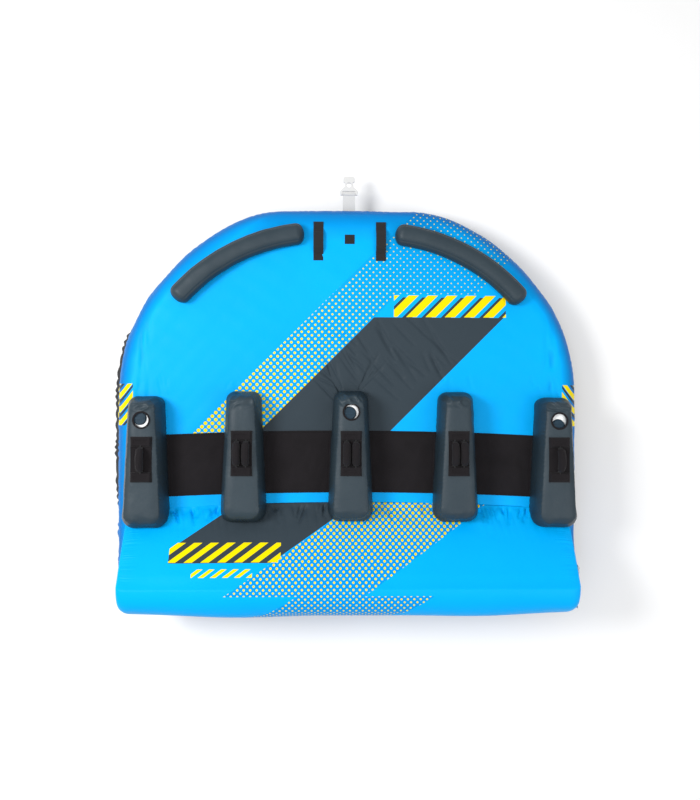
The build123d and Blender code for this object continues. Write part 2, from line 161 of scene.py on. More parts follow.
# ---- shader helpers ------------------------------------------------------------------
class Sum:
    """A socket in a node tree that arithmetic can be done on."""

    def __init__(self, tree, socket):
        self.tree, self.socket = tree, socket

    def op(self, kind, *others, swap=False):
        node = self.tree.nodes.new("ShaderNodeMath")
        node.operation = kind
        inputs = [self, *others]
        if swap:
            inputs.reverse()
        for slot, value in zip(node.inputs, inputs):
            if isinstance(value, Sum):
                self.tree.links.new(value.socket, slot)
            else:
                slot.default_value = value
        return Sum(self.tree, node.outputs[0])

    def __add__(self, o):
        return self.op("ADD", o)

    def __radd__(self, o):
        return self.op("ADD", o)

    def __sub__(self, o):
        return self.op("SUBTRACT", o)

    def __rsub__(self, o):
        return self.op("SUBTRACT", o, swap=True)

    def __mul__(self, o):
        return self.op("MULTIPLY", o)

    def __rmul__(self, o):
        return self.op("MULTIPLY", o)

    def __truediv__(self, o):
        return self.op("DIVIDE", o)

    def __pow__(self, o):
        return self.op("POWER", o)

    def least(self, o):
        return self.op("MINIMUM", o)

    def most(self, o):
        return self.op("MAXIMUM", o)

    def abs(self):
        return self.op("ABSOLUTE")

    def sin(self):
        return self.op("SINE")

    def over(self, edge, soft=0.0008):
        """0 below edge and 1 above it, with a narrow soft step."""
        return ((self - edge) * (1 / soft) + 0.5).clip()

    def under(self, edge, soft=0.0008):
        return ((edge - self) * (1 / soft) + 0.5).clip()

    def within(self, low, high, soft=0.0008):
        return self.over(low, soft) * self.under(high, soft)

    def clip(self):
        return self.least(1.0).most(0.0)

    def cell(self, pitch, shift=0.0):
        """Distance from the nearest of a row of lines, pitch apart."""
        scaled = (self + shift) * (1 / pitch)
        return (scaled.op("FRACT") - 0.5) * pitch


class Paint:
    """A new material: a Principled shader and the sockets its pattern starts from."""

    def __init__(self, name, roughness, metallic=0.0, specular=0.5, sheen=0.0, coat=0.0):
        self.material = bpy.data.materials.new(name)
        self.material.use_nodes = True
        self.tree = self.material.node_tree
        self.shader = self.tree.nodes["Principled BSDF"]
        self.shader.inputs["Roughness"].default_value = roughness
        self.shader.inputs["Metallic"].default_value = metallic
        self.shader.inputs["Specular IOR Level"].default_value = specular
        self.shader.inputs["Sheen Weight"].default_value = sheen
        self.shader.inputs["Coat Weight"].default_value = coat
        where = self.tree.nodes.new("ShaderNodeTexCoord")
        self.place = where.outputs["Object"]
        split = self.tree.nodes.new("ShaderNodeSeparateXYZ")
        self.tree.links.new(self.place, split.inputs[0])
        self.x, self.y, self.z = (Sum(self.tree, s) for s in split.outputs)

    def noise(self, scale, detail=2.0, place=None, rough=0.5):
        node = self.tree.nodes.new("ShaderNodeTexNoise")
        node.inputs["Scale"].default_value = scale
        node.inputs["Detail"].default_value = detail
        node.inputs["Roughness"].default_value = rough
        self.tree.links.new(place or self.place, node.inputs["Vector"])
        return Sum(self.tree, node.outputs[0])

    def mix(self, share, a, b):
        """Colour a where share is 0 and b where it is 1."""
        node = self.tree.nodes.new("ShaderNodeMix")
        node.data_type = "RGBA"
        for slot, value in zip((node.inputs[0], node.inputs[6], node.inputs[7]), (share, a, b)):
            if isinstance(value, Sum):
                self.tree.links.new(value.socket, slot)
            elif isinstance(value, tuple):
                slot.default_value = (*value, 1.0)
            elif isinstance(value, float):
                slot.default_value = value
            else:
                self.tree.links.new(value, slot)
        return node.outputs[2]

    def colour(self, socket):
        self.tree.links.new(socket, self.shader.inputs["Base Color"])

    def rough(self, value):
        self.tree.links.new(value.socket, self.shader.inputs["Roughness"])

    def bump(self, height, distance=0.001, strength=1.0):
        node = self.tree.nodes.new("ShaderNodeBump")
        node.inputs["Distance"].default_value = distance
        node.inputs["Strength"].default_value = strength
        self.tree.links.new(height.socket, node.inputs["Height"])
        self.tree.links.new(node.outputs[0], self.shader.inputs["Normal"])


def weave(paint, pitch=0.0016):
    """A fine plain weave, -1 to 1, and the same everywhere on the cloth."""
    k = 2 * math.pi / pitch
    return ((paint.x + paint.z * 0.7) * k).sin() * ((paint.y + paint.z * 0.7) * k).sin()


def dots(x, y, pitch_x, pitch_y, radius):
    """A half-tone of round dots on a diagonal lattice; radius may vary."""

    def lattice(dx, dy):
        u = x.cell(pitch_x, dx)
        v = y.cell(pitch_y, dy)
        return (u * u + v * v) ** 0.5

    nearest = lattice(0.0, 0.0).least(lattice(pitch_x / 2, pitch_y / 2))
    return ((radius - nearest) * (1 / 0.0006) + 0.5).clip()


# ---- colours -------------------------------------------------------------------------
BLUE = (0.0, 0.37, 0.87)
YELLOW = (0.84, 0.67, 0.0)
GREY = (0.034, 0.048, 0.060)
SLATE = (0.030, 0.046, 0.058)
BLACK = (0.008, 0.0068, 0.0078)


def cloth_finish(paint, base, crumple=0.5):
    """Coated nylon: faint weave and crumple in the bump, and gloss that varies a little."""
    soft = paint.noise(9.0, 4.0)
    fine = paint.noise(60.0, 3.0)
    paint.colour(base)
    paint.rough((soft - 0.5) * 0.16 + 0.40)
    paint.bump(soft * crumple * 5 + fine * crumple * 0.5 + weave(paint) * 0.05, 0.0010)


def printed_nylon(name, backrest):
    """Blue nylon with the tube's half-tone dots, grey diagonal and yellow bars; on the deck, a darker blue is
    painted as shade at the rim and the front.
    """
    paint = Paint(name, 0.4, specular=0.06)
    x, y, z = paint.x, paint.y, paint.z
    if backrest:
        y = y - ((BACK_TOP - 0.045) - z).most(0.0) * y.under(-0.955)
    tone = paint.noise(1.6, 2.0)
    blue = paint.mix((tone - 0.30) * 1.1, BLUE, (0.0, 0.44, 0.95))
    if backrest:
        slant = x - y * 1.55
        grey = slant.within(0.346, 0.930) * y.over(-0.846) * x.over(-0.872)
        size = (y + 1.10) * 0.0062 + 0.0043
        rear = y.under(-0.992)
        band = slant.within(0.937, 1.60) * (1.0 - rear)
        band = band.most(slant.within(1.287, 1.94) * rear)
        spots = dots(x, y, 0.0305, 0.0305, size.most(0.0031)) * band * y.over(-1.20)
        bars = ((x * 0.7 - y).cell(0.056, 0.01).within(-0.014, 0.014)) * x.within(-0.872, -0.335)
        bars = bars * y.within(-0.843, -0.757)
        small = ((x * 0.7 - y).cell(0.040, 0.01).within(-0.009, 0.009)) * x.within(-0.758, -0.468)
        bars = bars.most(small * y.within(-0.908, -0.872))
    else:
        slant = x - y
        grey = slant.within(-0.235, 0.423) * y.within(-0.38, 0.360)
        size = (0.0061 - (x + y) * 0.0034).most(0.0031)
        band = slant.within(-0.562, -0.235) * y.over(-0.38)
        band = band.most(slant.within(-0.562, 0.16) * y.over(0.480))
        spots = dots(x, y, 0.0344, 0.0356, size) * band * z.over(0.225)
        lane = (x - y).cell(0.098, 0.0)
        bars = lane.within(-0.026, 0.026) * x.within(0.225, 0.795) * y.within(0.362, 0.472)
        shade = (x - y + 0.018).cell(0.098, 0.0).within(-0.026, 0.026)
        grey = grey.most(shade * x.within(0.225, 0.795) * y.within(0.350, 0.462) * slant.under(0.423))
        side = x.abs().over(1.085)
        stripe = (y + x.abs().least(1.165) * 1.4 + z * 0.5).cell(0.070, 0.010)
        near = y.within(-0.190, 0.020)
        bars = bars.most(stripe.within(-0.014, 0.018) * side * near)
        grey = grey.most(stripe.under(-0.019) * side * near)
        taper = ((y + 0.72) * 5.0).clip() * ((0.50 - y) * 5.0).clip()
        skirt = (taper * 0.058 + 0.090 - z).over(0.0)
        bars = bars * (1.0 - skirt)
    blue = paint.mix(band * 0.75, blue, (0.0, 0.25, 0.68) if backrest else (0.0, 0.32, 0.74))
    if not backrest:
        # Painted shade: a darker blue down the deck's rounded rim and over the front by the tow point, where
        # the top turns away from the overhead light.
        rim = ((0.2965 - z) * 28.0).clip() ** 0.6
        front = ((y - 0.740) * 7.0).clip() * ((0.66 - x.abs()) * 4.0).clip()
        blue = paint.mix(rim.most(front * 0.8) * 0.82, blue, (0.0, 0.105, 0.40))
    inked = paint.mix(grey, blue, GREY)
    inked = paint.mix(spots, inked, YELLOW)
    inked = paint.mix(bars, inked, YELLOW)
    if not backrest:
        inked = paint.mix(skirt, inked, (0.010, 0.011, 0.013))
    cloth_finish(paint, inked, 0.5)
    return paint.material


def plain_nylon(name, colour, deep, crumple=0.8, side_shade_painted=False):
    """Plain coated nylon; for the arms and foot bolsters it can carry painted shade, darker down their sides.
    """
    paint = Paint(name, 0.4, specular=0.20)
    tone = paint.noise(7.0, 3.0)
    base = paint.mix((tone - 0.35) * 1.6, colour, deep)
    if side_shade_painted:
        # Painted shade: the arms' sides and the foot bolsters' lower sides are darkened towards the deck,
        # where the light falls off.
        arm = paint.y.under(0.2)
        side = ((0.448 - paint.z) * 16.0).clip() * arm
        side = side.most(((0.362 - paint.z) * 28.0).clip() * (1.0 - arm))
        base = paint.mix(side * 0.62, base, (0.006, 0.015, 0.022))
    cloth_finish(paint, base, crumple)
    return paint.material


def neoprene(name):
    """Matt black foam cloth with a fine knit face."""
    paint = Paint(name, 0.85, specular=0.15, sheen=0.05)
    tone = paint.noise(14.0, 3.0)
    knit = paint.noise(900.0, 1.0)
    paint.colour(paint.mix(tone, BLACK, (0.013, 0.011, 0.013)))
    paint.bump(knit * 0.4 + tone * 1.5 + weave(paint, 0.0024) * 0.2, 0.0007)
    return paint.material


def webbing(name, dark, light, pitch=0.0032, axis="y"):
    """Ribbed woven tape: picks across it and a slight herringbone."""
    paint = Paint(name, 0.78, specular=0.2, sheen=0.05)
    k = 2 * math.pi / pitch
    along = {"x": paint.x, "y": paint.y}[axis]
    across = {"x": paint.y, "y": paint.x}[axis]
    rib = ((along + paint.z + (across * k / 2).sin() * 0.0006) * k).sin()
    pick = (across * (k * 0.9)).sin()
    paint.colour(paint.mix((rib * pick) * 0.25 + 0.5, dark, light))
    paint.bump(rib * 0.5 + pick * 0.4, 0.0006)
    return paint.material


def moulded(name, colour, other, roughness, specular=0.5):
    """Moulded plastic with a faint orange peel and a slightly uneven tone."""
    paint = Paint(name, roughness, specular=specular)
    tone = paint.noise(35.0, 3.0)
    paint.colour(paint.mix(tone, colour, other))
    paint.rough((tone - 0.5) * 0.12 + roughness)
    paint.bump(paint.noise(500.0, 2.0) * 0.4, 0.0003)
    return paint.material


MATS = {
    "deck_print": printed_nylon("deck_print", False),
    "back_print": printed_nylon("back_print", True),
    "black_nylon": plain_nylon("black_nylon", (0.010, 0.011, 0.013), (0.022, 0.026, 0.030)),
    # The slate nylon carries painted shade down the sides of the arms and foot bolsters.
    "slate_painted_shade": plain_nylon("slate_nylon_painted_shade", SLATE, (0.022, 0.036, 0.048), 0.7, True),
    "neoprene": neoprene("neoprene"),
    "webbing": webbing("black_webbing", (0.008, 0.008, 0.009), (0.030, 0.030, 0.033)),
    "tow_webbing": webbing("tow_webbing", (0.52, 0.52, 0.52), (0.74, 0.74, 0.73), 0.0040),
    "vinyl": moulded("white_vinyl", (0.93, 0.94, 0.94), (0.88, 0.90, 0.91), 0.28),
    "white_plastic": moulded("white_plastic", (0.66, 0.66, 0.65), (0.60, 0.60, 0.59), 0.42),
    "cap_plastic": moulded("cap_plastic", (0.012, 0.036, 0.060), (0.008, 0.024, 0.040), 0.50, 0.2),
    "zipper": webbing("zipper_tape", (0.010, 0.14, 0.30), (0.03, 0.30, 0.50), 0.0044),
    "foam": moulded("core_foam", (0.70, 0.70, 0.66), (0.60, 0.60, 0.56), 0.9),
    "metal": moulded("zipper_metal", (0.55, 0.56, 0.58), (0.40, 0.41, 0.43), 0.3),
}


# ---- camera, light and floor ---------------------------------------------------------
def aim(obj, target):
    obj.rotation_mode = "QUATERNION"
    obj.rotation_quaternion = (Vector(target) - obj.location).to_track_quat("-Z", "Y")


def area_light(name, at, size, power, target=(0, 0, 0.2), colour=(1, 1, 1)):
    light = bpy.data.lights.new(name, "AREA")
    light.shape = "RECTANGLE"
    light.size, light.size_y = size
    light.energy = power
    light.color = colour
    obj = bpy.data.objects.new(name, light)
    obj.location = at
    bpy.context.scene.collection.objects.link(obj)
    aim(obj, target)


camera = bpy.data.cameras.new("camera")
camera.lens = 37.35
camera.sensor_width = 36.0
eye = bpy.data.objects.new("camera", camera)
bpy.context.scene.collection.objects.link(eye)
eye.location = (-0.126, -0.085, 4.49)
sight = (Vector((0.004, -0.059, DECK_TOP)) - eye.location).normalized()
right = sight.cross(Vector((0, 1, 0))).normalized()
right = right + right.cross(sight) * 0.003
right.normalize()
eye.rotation_euler = Matrix((right, right.cross(sight), -sight)).transposed().to_euler()
bpy.context.scene.camera = eye

world = bpy.data.worlds.new("studio")
world.use_nodes = True
world.node_tree.nodes["Background"].inputs[0].default_value = (1.0, 1.0, 1.0, 1.0)
world.node_tree.nodes["Background"].inputs[1].default_value = 0.62
bpy.context.scene.world = world
bpy.context.scene.view_settings.view_transform = "Standard"
area_light("overhead", (-0.3, -0.3, 5.6), (3.4, 3.0), 60)
area_light("key", (-3.3, 0.7, 4.4), (1.6, 1.6), 190)
area_light("fill", (3.2, -1.6, 4.6), (2.0, 2.0), 60)

floor_paint = Paint("floor", 0.9, specular=0.1)
floor_paint.colour(floor_paint.mix(floor_paint.noise(3.0), (0.90, 0.90, 0.90), (0.92, 0.92, 0.92)))
edge = 14.0
floor = new_object(
    "floor", [(-edge, -edge, 0), (edge, -edge, 0), (edge, edge, 0), (-edge, edge, 0)], [(0, 1, 2, 3)],
    floor_paint.material,
)
floor.location.z = cad_low.z - 0.001


# ---- deck ----------------------------------------------------------------------------
def half_outline(inset):
    """Points of the right half of the deck's outline, from the tow end to the rear."""
    points = [np.array([0.0, FRONT_Y - inset]), np.array([NOSE_FLAT, FRONT_Y - inset])]
    heading = 0.0
    for radius, turn in NOSE_ARCS:
        r = radius - inset
        at = points[-1]
        centre = at - r * np.array([math.sin(heading), math.cos(heading)])
        angles = np.linspace(heading, heading + math.radians(turn), 60)[1:]
        points += [centre + r * np.array([math.sin(a), math.cos(a)]) for a in angles]
        heading += math.radians(turn)
    x = HALF_WIDTH - inset
    points.append(np.array([x, REAR_Y + REAR_CORNER]))
    r = REAR_CORNER - inset
    centre = np.array([HALF_WIDTH - REAR_CORNER, REAR_Y + REAR_CORNER])
    angles = np.linspace(0, math.pi / 2, 30)[1:]
    points += [centre + r * np.array([math.cos(a), -math.sin(a)]) for a in angles]
    points.append(np.array([0.0, REAR_Y + inset]))
    return np.array(points)


def closed_outline(inset, share):
    """The whole outline at the given shares (0 to 1) of its right half, mirrored."""
    half = half_outline(inset)
    run = np.concatenate([[0], np.cumsum(np.linalg.norm(np.diff(half, axis=0), axis=1))])
    at = share * run[-1]
    right = np.stack([np.interp(at, run, half[:, 0]), np.interp(at, run, half[:, 1])], -1)
    left = right[-2:0:-1] * np.array([-1, 1])
    return np.concatenate([right, left])


def deck_section(count_rim, top):
    """(inset, z) down the rim, from the flat to the seam, for the top or bottom cover."""
    if top:
        angles = np.linspace(math.pi / 2, 0, count_rim)
        rim = [(TOP_ROUND * (1 - math.cos(a)), DECK_TOP - TOP_ROUND * (1 - math.sin(a))) for a in angles]
        return rim + [(0.0, z) for z in np.linspace(DECK_TOP - TOP_ROUND, SEAM_Z, 9)[1:]]
    angles = np.linspace(math.pi / 2, 0, count_rim)
    rim = [(BOTTOM_ROUND * (1 - math.cos(a)), BOTTOM_ROUND * (1 - math.sin(a))) for a in angles]
    return rim + [(0.0, z) for z in np.linspace(BOTTOM_ROUND, SEAM_Z, 3)[1:]]


def deck_shell(name, top, material, around=1400, inner=150, rim=26, inset=0.0):
    """One cover of the deck: rings from the middle out to the rim and down to the seam."""
    share = np.linspace(0, 1, around // 2 + 1)
    rings = []
    flat_edge = closed_outline(TOP_ROUND if top else BOTTOM_ROUND, share)
    middle = np.array([0.0, -0.12])
    level = DECK_TOP if top else 0.0
    for s in (np.linspace(0, 1, inner) ** 0.9)[:-1]:
        ring = middle + (flat_edge - middle) * s
        rings.append(np.column_stack([ring, np.full(len(ring), level)]))
    for offset, z in deck_section(rim, top):
        ring = closed_outline(offset, share)
        rings.append(np.column_stack([ring, np.full(len(ring), z)]))
    points = np.array(rings)
    outline = closed_outline(0.0, share)
    run = np.concatenate([[0], np.cumsum(np.linalg.norm(np.diff(outline, axis=0), axis=1))])
    tangent = np.roll(outline, -1, 0) - np.roll(outline, 1, 0)
    outward = np.stack([-tangent[:, 1], tangent[:, 0]], -1)
    outward /= np.linalg.norm(outward, axis=1, keepdims=True)
    if inset == 0.0:
        height = points[..., 2]
        seam = np.exp(-((np.abs(height - SEAM_Z)) / 0.075) ** 1.4)
        gather = pucker(run, 0.046, 11)
        push = (gather - 0.6) * 0.0125 * seam
        side = smoothstep((np.abs(outline[:, 0]) - 1.02) / 0.14)
        flank = smoothstep((0.42 - outline[:, 1]) / 0.16) * smoothstep((outline[:, 1] + 0.64) / 0.16)
        flare = (0.026 + 0.016 * flank * (outline[:, 0] < 0)) * side
        push += flare * np.exp(-(((height - SEAM_Z + 0.006) / 0.050) ** 2))
        push += 0.004 * np.clip(1 - np.abs(height - 0.17) / 0.10, 0, 1) * waves(points, 0.28, 5)
        rear = (outline[:, 1] < REAR_Y + 0.002)[None] * np.ones(push.shape)
        push = np.where(rear > 0, -0.0006 - 0.5 * np.abs(push), push)
        from_valve = np.hypot(points[..., 0] - DECK_VALVE[0], height - DECK_VALVE[1])
        push -= 0.006 * rear * (from_valve < 0.0355)
        if not top:
            push *= np.clip(height / 0.04, 0, 1)
        points[..., :2] += outward[None] * push[..., None]
    if top and inset == 0.0:
        plane = points[..., :2]
        flat = smoothstep((points[..., 2] - 0.24) / 0.05)
        lift = 0.0022 * waves(plane, 0.55, 21) + 0.0006 * waves(plane, 0.12, 22)
        for item in DECK_FOLDS:
            lift -= fold(plane, *item)
        points[..., 2] += flat * np.maximum(lift, -0.011)
    else:
        points[..., 2] += (-inset if top else inset)
        points[..., :2] *= 1 - inset / HALF_WIDTH
    rows, cols = points.shape[:2]
    faces = grid_faces(cols, rows, True)
    return new_object(name, points.transpose(1, 0, 2), faces, material)


def deck_folds():
    """Pulled folds in the top cover: a fan before the middle arm, and gathers by the rim."""
    draw = np.random.RandomState(3)
    items = []
    for _ in range(34):
        at = np.array([draw.uniform(-0.16, 0.46), draw.uniform(-0.02, 0.34)])
        angle = math.radians(draw.uniform(112, 142))
        reach = draw.uniform(0.05, 0.15)
        step = reach * np.array([math.cos(angle), math.sin(angle)])
        items.append((at - step, at + step, draw.uniform(0.005, 0.009), draw.uniform(0.0045, 0.009)))
    for side in (-1, 1):
        for _ in range(6):
            angle = math.radians(90 + side * draw.uniform(12, 70))
            start = np.array([ARM_X[2] + side * -0.05, 0.0])
            end = start + draw.uniform(0.10, 0.24) * np.array([math.cos(angle), math.sin(angle)])
            items.append((start, end, draw.uniform(0.006, 0.010), draw.uniform(0.004, 0.008)))
    for side in (-1, 1):
        for _ in range(9):
            at = np.array([side * (1.03 + draw.uniform(-0.03, 0.03)), draw.uniform(-0.05, 0.35)])
            step = np.array([draw.uniform(-0.012, 0.012), draw.uniform(0.05, 0.10)])
            items.append((at - step, at + step, draw.uniform(0.008, 0.013), draw.uniform(0.0015, 0.003)))
    for index in (0, 1, 3, 4):
        for _ in range(6):
            at = np.array([ARM_X[index] + draw.uniform(-0.11, 0.11), 0.01 + draw.uniform(-0.02, 0.03)])
            step = np.array([draw.uniform(-0.015, 0.015), draw.uniform(0.02, 0.05)])
            items.append((at - step, at + step, draw.uniform(0.006, 0.010), draw.uniform(0.001, 0.0025)))
    return items


DECK_FOLDS = deck_folds()


def clothe(obj, node):
    """obj stands for a CAD node that is part of the tube."""
    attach(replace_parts(obj, node), TUBE)
    return obj


clothe(deck_shell("deck_cover_top", True, MATS["deck_print"]), "deck_top_cover")
clothe(
    deck_shell("deck_cover_bottom", False, MATS["black_nylon"], 960, 24, 14),
    "deck_bottom_cover",
)


def closed_deck(name, inset, material):
    """The sealed chamber inside the covers."""
    share = np.linspace(0, 1, 121)
    section = [(o + inset, z - inset) for o, z in deck_section(6, True)[:-1]]
    section += [(o + inset, z + inset) for o, z in deck_section(6, False)[::-1]]
    rings = []
    middle = np.array([0.0, -0.12])
    for offset, z in section:
        ring = closed_outline(offset, share)
        rings.append(np.column_stack([ring, np.full(len(ring), z)]))
    cap_top = [np.column_stack([middle + (rings[0][:, :2] - middle) * f, rings[0][:, 2]]) for f in (0, 0.5)]
    cap_low = [np.column_stack([middle + (rings[-1][:, :2] - middle) * f, rings[-1][:, 2]]) for f in (0.5, 0)]
    points = np.array(cap_top + rings + cap_low)
    faces = grid_faces(points.shape[1], points.shape[0], True)
    return new_object(name, points.transpose(1, 0, 2), faces, material)


clothe(closed_deck("deck_chamber", 0.017, MATS["vinyl"]), "deck_bladder")


# ---- backrest ------------------------------------------------------------------------
BACK_SLOPE = math.radians(36.0)
BACK_CREST = 0.135
BACK_HEEL = 0.055


def slope_z(y):
    """Height of the backrest's reclined face over the deck."""
    return DECK_TOP + (BACK_FOOT - y) * math.tan(BACK_SLOPE)


def back_profile():
    """The backrest's closed side profile as (y, z), with each point's share along the reclined face."""
    crest_y = BACK_FOOT - (BACK_TOP - DECK_TOP) / math.tan(BACK_SLOPE)
    points, share = [], []
    for t in np.linspace(0, 1, 110):
        points.append((BACK_FOOT + (crest_y - BACK_FOOT) * t, DECK_TOP + (BACK_TOP - DECK_TOP) * t))
        share.append(t)
    for y in np.linspace(crest_y, BACK_REAR + BACK_CREST, 6)[1:]:
        points.append((y, BACK_TOP))
        share.append(1.0)
    for a in np.linspace(0, math.pi / 2, 22)[1:]:
        points.append(
            (BACK_REAR + BACK_CREST * (1 - math.sin(a)), BACK_TOP - BACK_CREST * (1 - math.cos(a)))
        )
        share.append(2.0)
    for z in np.linspace(BACK_TOP - BACK_CREST, DECK_TOP + BACK_HEEL, 10)[1:]:
        points.append((BACK_REAR, z))
        share.append(2.0)
    for a in np.linspace(0, math.pi / 2, 10)[1:]:
        points.append((BACK_REAR + BACK_HEEL * (1 - math.cos(a)), DECK_TOP + BACK_HEEL * (1 - math.sin(a))))
        share.append(3.0)
    for y in np.linspace(BACK_REAR + BACK_HEEL, BACK_FOOT, 30)[1:-1]:
        points.append((y, DECK_TOP))
        share.append(4.0)
    return np.array(points), np.array(share)


def crease_folds():
    """Pulled folds that rise from the crease, slanting away from the arms."""
    draw = np.random.RandomState(9)
    items = []
    for index in range(4):
        left, right = ARM_X[index] + 0.115, ARM_X[index + 1] - 0.115
        for _ in range(11):
            share = draw.uniform(0, 1) ** 1.4 * 0.5
            side = draw.choice([-1, 1])
            x = left + share * (right - left) if side < 0 else right - share * (right - left)
            start = np.array([x, BACK_FOOT + 0.004])
            slant = -side * draw.uniform(0.2, 1.3) * (0.7 - share)
            run = draw.uniform(0.035, 0.095)
            end = start + run * np.array([slant, -1.0])
            items.append((start, end, draw.uniform(0.006, 0.010), draw.uniform(0.005, 0.011)))
    return items


CREASE_FOLDS = crease_folds()


def backrest_shell(name, material, stations=560, inset=0.0):
    """The backrest's skin: its profile carried across the tube, with puffed, gathered ends."""
    profile, share = back_profile()
    for _ in range(2):  # ease the corner at the crest
        soft = (np.roll(profile, 1, 0) + np.roll(profile, -1, 0)) / 2
        near = (share > 0.86) & (share < 2.5)
        profile[near] = profile[near] * 0.5 + soft[near] * 0.5
    middle = np.array([-0.870, 0.405])
    half = BACK_HALF - inset
    turn = 0.055
    caps = np.array([0.0, 0.25, 0.5, 0.7, 0.82])
    cap_x = half - 0.0015 - 0.020 * caps**8 * 0.6
    arc = np.linspace(0, math.pi / 2, 10)
    arc_x = half - 0.006 - (turn - 0.006) * (1 - np.cos(arc))
    arc_s = 1 - turn / 0.26 * (1 - np.sin(arc)) * 0.72
    end_x = np.concatenate([cap_x, arc_x])
    end_s = np.concatenate([caps * arc_s[0], arc_s])
    inner = np.linspace(half - turn, -(half - turn), stations)[1:-1]
    xs = np.concatenate([end_x, inner, -end_x[::-1]])
    ss = np.concatenate([end_s, np.ones(len(inner)), end_s[::-1]])
    flat = middle + (profile[None] - middle) * ss[:, None, None]
    points = np.empty((len(xs), len(profile), 3))
    points[..., 0] = xs[:, None]
    points[..., 1:] = flat
    if inset:
        points[..., 1:] = middle + (points[..., 1:] - middle) * (1 - inset / 0.16)
    else:
        across = 1 - (points[..., 0] / half) ** 2
        face = np.clip(share, 0, 1)[None] * (share <= 1.0)[None]
        swell = 0.010 * np.sin(np.pi * face) * (share <= 1.0)[None] * np.ones((len(xs), 1))
        gather = pucker(points[..., 0] + 0.25 * (points[..., 1] - BACK_FOOT), 0.046, 31) - 0.5
        gather += 0.6 * waves(points[..., :2], 0.09, 33)
        foot = np.exp(-((face / 0.20) ** 1.5)) * smoothstep(face / 0.04) * (share <= 1.0)[None]
        swell += 0.0075 * gather * foot
        for item in CREASE_FOLDS:
            swell -= fold(points[..., :2], *item) * (share <= 1.0)[None]
        swell += 0.0030 * waves(points, 0.42, 35) * smoothstep(face * 4)
        rim = np.exp(-(((np.abs(points[..., 0]) - (half - 0.035)) / 0.045) ** 2))
        run = np.linspace(0, 2.0, len(profile))[None] * np.ones((len(xs), 1))
        swell += 0.0045 * (pucker(run, 0.036, 37) - 0.55) * rim
        swell *= smoothstep((points[..., 2] - DECK_TOP) / 0.02 + (share > 3.5)[None])
        swell *= 1 - smoothstep((face - 0.82) / 0.18)
        swell *= (share < 3.5)[None] * ss[:, None] ** 2
        points[..., 1] += -math.sin(BACK_SLOPE) * -swell * (share <= 1.0)[None]
        points[..., 2] += math.cos(BACK_SLOPE) * swell * (share <= 1.0)[None]
        in_front = ((share <= 1.0) | (share > 3.5))[None]
        bow = 0.036 * across * np.exp(-face / 0.5) * (1 - smoothstep(face)) * in_front
        points[..., 1] += bow
        ramp = smoothstep((BACK_TOP - profile[:, 1]) / 0.08) * smoothstep((profile[:, 1] - DECK_TOP) / 0.09)
        round_part = (((share > 1.0) & (share < 3.5)) * ramp)[None] * ss[:, None] ** 2
        points[..., 1] += 0.012 * ((1 - across) ** 2) * round_part
        sway = 0.004 * waves(points, 0.5, 39) * round_part
        outward = points[..., 1:] - middle
        outward /= np.linalg.norm(outward, axis=-1, keepdims=True) + 1e-9
        points[..., 1:] += outward * sway[..., None]
    points[..., 1] = np.maximum(points[..., 1], BACK_REAR - 0.006)
    rows, cols = points.shape[:2]
    faces = grid_faces(cols, rows, True)
    return new_object(name, points.transpose(1, 0, 2), faces, material)


clothe(backrest_shell("backrest_skin", MATS["back_print"]), "backrest_cover")
clothe(backrest_shell("backrest_chamber", MATS["vinyl"], 60, 0.016), "backrest_bladder")


# ---- arms ----------------------------------------------------------------------------
def rounded_quad(front_half, rear_half, front, rear, r_front, r_rear, corner=18, side=150, end=24):
    """A closed rounded trapezoid, symmetric about x = 0, always with the same number of points."""
    points = []
    corners = [
        ((front_half, front), r_front, 90.0, 0.0, side),
        ((rear_half, rear), r_rear, 0.0, -90.0, end),
        ((-rear_half, rear), r_rear, -90.0, -180.0, side),
        ((-front_half, front), r_front, 180.0, 90.0, end),
    ]
    arcs = []
    for (cx, cy), r, start, stop, _ in corners:
        middle = np.array([cx - math.copysign(r, cx), cy - math.copysign(r, cy - (front + rear) / 2)])
        angles = np.radians(np.linspace(start, stop, corner))
        arcs.append(middle + r * np.stack([np.cos(angles), np.sin(angles)], -1))
    for k, arc in enumerate(arcs):
        points += list(arc)
        after = arcs[(k + 1) % 4][0]
        count = corners[k][4]
        points += [arc[-1] + (after - arc[-1]) * f for f in np.linspace(0, 1, count + 2)[1:-1]]
    return np.array(points)


def rim_z(x):
    """Height of the deck under a point that far across: flat, then rolling off at the rim."""
    over = np.clip(np.abs(x) - (HALF_WIDTH - TOP_ROUND), 0, TOP_ROUND)
    return DECK_TOP - TOP_ROUND + np.sqrt(TOP_ROUND**2 - over**2)


